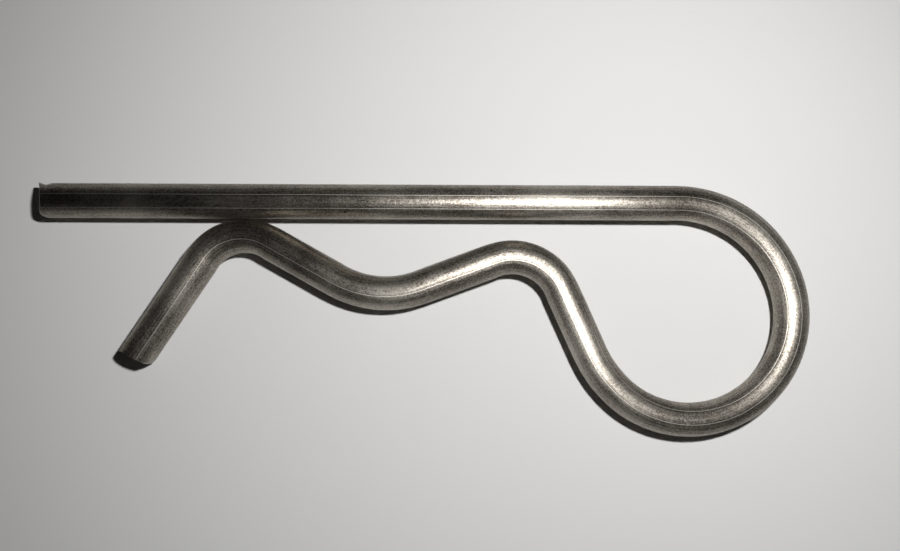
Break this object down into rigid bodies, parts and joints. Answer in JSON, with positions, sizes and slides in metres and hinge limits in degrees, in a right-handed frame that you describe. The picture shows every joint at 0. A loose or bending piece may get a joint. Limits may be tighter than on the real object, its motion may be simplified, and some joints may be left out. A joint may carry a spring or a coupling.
{
  "type": "hairpin cotter pin",
  "caption": "Hairpin cotter pin: round spring wire bent flat, with a straight leg for a cross-hole, an open spring loop, a waved leg with a shaft saddle, and a flared lead-in tip.",
  "frame": {"origin": "on the axis of the straight leg, where the axis of the held shaft crosses it", "axes": "+X along the straight leg towards the loop, +Z the shaft's axis, square to the plane that the wire is bent in; the sprung leg is on -Y"},
  "size_m": [0.0894, 0.0291, 0.004],
  "materials": {
    "spring_steel_wire": "bright drawn spring steel wire, with fine grain, two long draw lines and a few pits"
  },
  "bodies": {
    "root": {"hairpin_cotter": "spring_steel_wire"}
  },
  "joints": []
}
